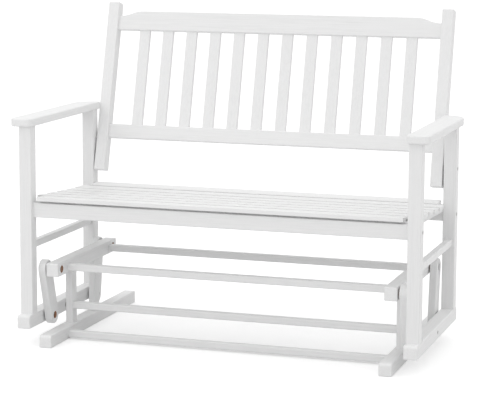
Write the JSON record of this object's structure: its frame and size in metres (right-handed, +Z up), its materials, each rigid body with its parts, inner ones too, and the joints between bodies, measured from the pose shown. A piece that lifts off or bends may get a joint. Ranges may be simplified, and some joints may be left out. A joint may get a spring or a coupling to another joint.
{
  "type": "glider bench",
  "caption": "White painted wooden two-seat rocking bench: slatted seat and back with armrests, hung by swing links from a low floor base so it glides to and fro.",
  "frame": {"origin": "on the floor, midway between the two feet and midway along them", "axes": "+X towards the picture's right, +Y from the front to the back, +Z up"},
  "size_m": [1.248, 0.676, 0.9844],
  "materials": {
    "white_paint": "satin white paint over wood",
    "zinc_steel": "zinc plated",
    "bare_wood": "bare"
  },
  "bodies": {
    "base": {"base_foot_left": "white_paint", "base_foot_right": "white_paint", "base_rail_left": "white_paint", "base_rail_right": "white_paint", "base_post_front_left": "white_paint", "base_post_rear_left": "white_paint", "base_post_front_right": "white_paint", "base_post_rear_right": "white_paint", "base_bar_upper_front": "white_paint", "base_bar_upper_rear": "white_paint", "base_bar_middle": "white_paint", "base_bar_low": "white_paint", "base_pivot_bolts": "zinc_steel", "base_pivot_washers": "zinc_steel", "base_pivot_nuts": "zinc_steel", "base_pivot_spacers": "zinc_steel"},
    "front_left_link": {"link_front_left": "white_paint"},
    "front_right_link": {"link_front_right": "white_paint"},
    "rear_left_link": {"link_rear_left": "white_paint"},
    "rear_right_link": {"link_rear_right": "white_paint"},
    "seat_frame": {"bottom_rail_left": "white_paint", "bottom_rail_right": "white_paint", "armrest_left": "white_paint", "armrest_right": "white_paint", "leg_front_left": "white_paint", "leg_rear_left": "white_paint", "leg_front_right": "white_paint", "leg_rear_right": "white_paint", "side_bar_left": "white_paint", "side_bar_right": "white_paint", "apron_front": "white_paint", "apron_rear": "white_paint", "seat_rail_left": "white_paint", "seat_rail_middle": "white_paint", "seat_rail_right": "white_paint", "seat_slat_1": "white_paint", "seat_slat_2": "white_paint", "seat_slat_3": "white_paint", "seat_slat_4": "white_paint", "seat_slat_5": "white_paint", "seat_slat_6": "white_paint", "seat_slat_7": "white_paint", "stile_left": "white_paint", "stile_right": "white_paint", "back_rail_low": "white_paint", "back_rail_top": "white_paint", "back_slats": "white_paint", "seat_pivot_bolts": "zinc_steel", "stile_bolts": "zinc_steel", "apron_bolts": "zinc_steel", "rail_bolts": "zinc_steel", "rail_bolt_washers": "zinc_steel", "rail_bolt_nuts": "zinc_steel", "seat_spacers": "zinc_steel", "threaded_inserts": "zinc_steel", "barrel_nuts": "zinc_steel", "slat_screws": "zinc_steel", "stile_pins": "bare_wood"}
  },
  "joints": [
    {"name": "front_left_link_swing", "type": "hinge", "parent": "base", "child": "front_left_link", "pos_m": [-0.5465, -0.255, 0.222], "axis": [1, 0, 0], "range_deg": [-14, 12]},
    {"name": "seat_swing", "type": "hinge", "parent": "front_left_link", "child": "seat_frame", "pos_m": [-0.5465, -0.211, 0.072], "axis": [1, 0, 0], "range_deg": [-14.32, 16.71]},
    {"name": "front_right_link_swing", "type": "hinge", "parent": "base", "child": "front_right_link", "pos_m": [0.5465, -0.255, 0.222], "axis": [1, 0, 0], "range_deg": [-14, 12]},
    {"name": "rear_left_link_swing", "type": "hinge", "parent": "base", "child": "rear_left_link", "pos_m": [-0.5465, 0.147, 0.222], "axis": [1, 0, 0], "range_deg": [-14, 12]},
    {"name": "rear_right_link_swing", "type": "hinge", "parent": "base", "child": "rear_right_link", "pos_m": [0.5465, 0.147, 0.222], "axis": [1, 0, 0], "range_deg": [-14, 12]}
  ],
  "couplings": [
    {"joint": "front_left_link_swing", "follows": "seat_swing", "ratio": -0.83798},
    {"joint": "front_right_link_swing", "follows": "seat_swing", "ratio": -0.83798},
    {"joint": "rear_left_link_swing", "follows": "seat_swing", "ratio": -0.81446},
    {"joint": "rear_right_link_swing", "follows": "seat_swing", "ratio": -0.81446}
  ]
}
